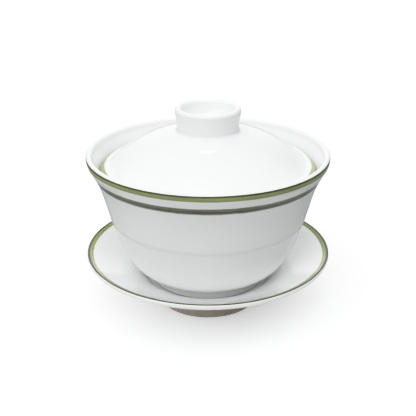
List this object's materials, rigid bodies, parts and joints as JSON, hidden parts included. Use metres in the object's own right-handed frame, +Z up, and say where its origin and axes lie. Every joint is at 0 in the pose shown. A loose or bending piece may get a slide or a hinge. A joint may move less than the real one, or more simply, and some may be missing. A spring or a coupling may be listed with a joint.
{
  "type": "gaiwan",
  "caption": "Lidded porcelain tea bowl on a footed saucer: flared bowl, domed lid with a hollow ring knob, thin green and dark painted bands.",
  "frame": {"origin": "on the table plane, on the axis that the saucer, bowl and lid share", "axes": "+Z up along the axis of revolution; X and Y are free, as the object is round"},
  "size_m": [0.108, 0.108, 0.0887],
  "materials": {
    "porcelain": "clear gloss glaze over white porcelain",
    "bare_porcelain": "unglazed, ground matt foot ring",
    "green_enamel": "thin glossy olive green overglaze band",
    "dark_enamel": "fine dark olive overglaze line"
  },
  "bodies": {
    "saucer": {"saucer": "porcelain"},
    "bowl": {"bowl": "porcelain"},
    "lid": {"lid": "porcelain"}
  },
  "joints": [
    {"name": "bowl_lift", "type": "slide", "parent": "saucer", "child": "bowl", "axis": [0, 0, 1], "range_m": [0, 0.05]},
    {"name": "lid_lift", "type": "slide", "parent": "bowl", "child": "lid", "axis": [0, 0, 1], "range_m": [0, 0.06]}
  ]
}
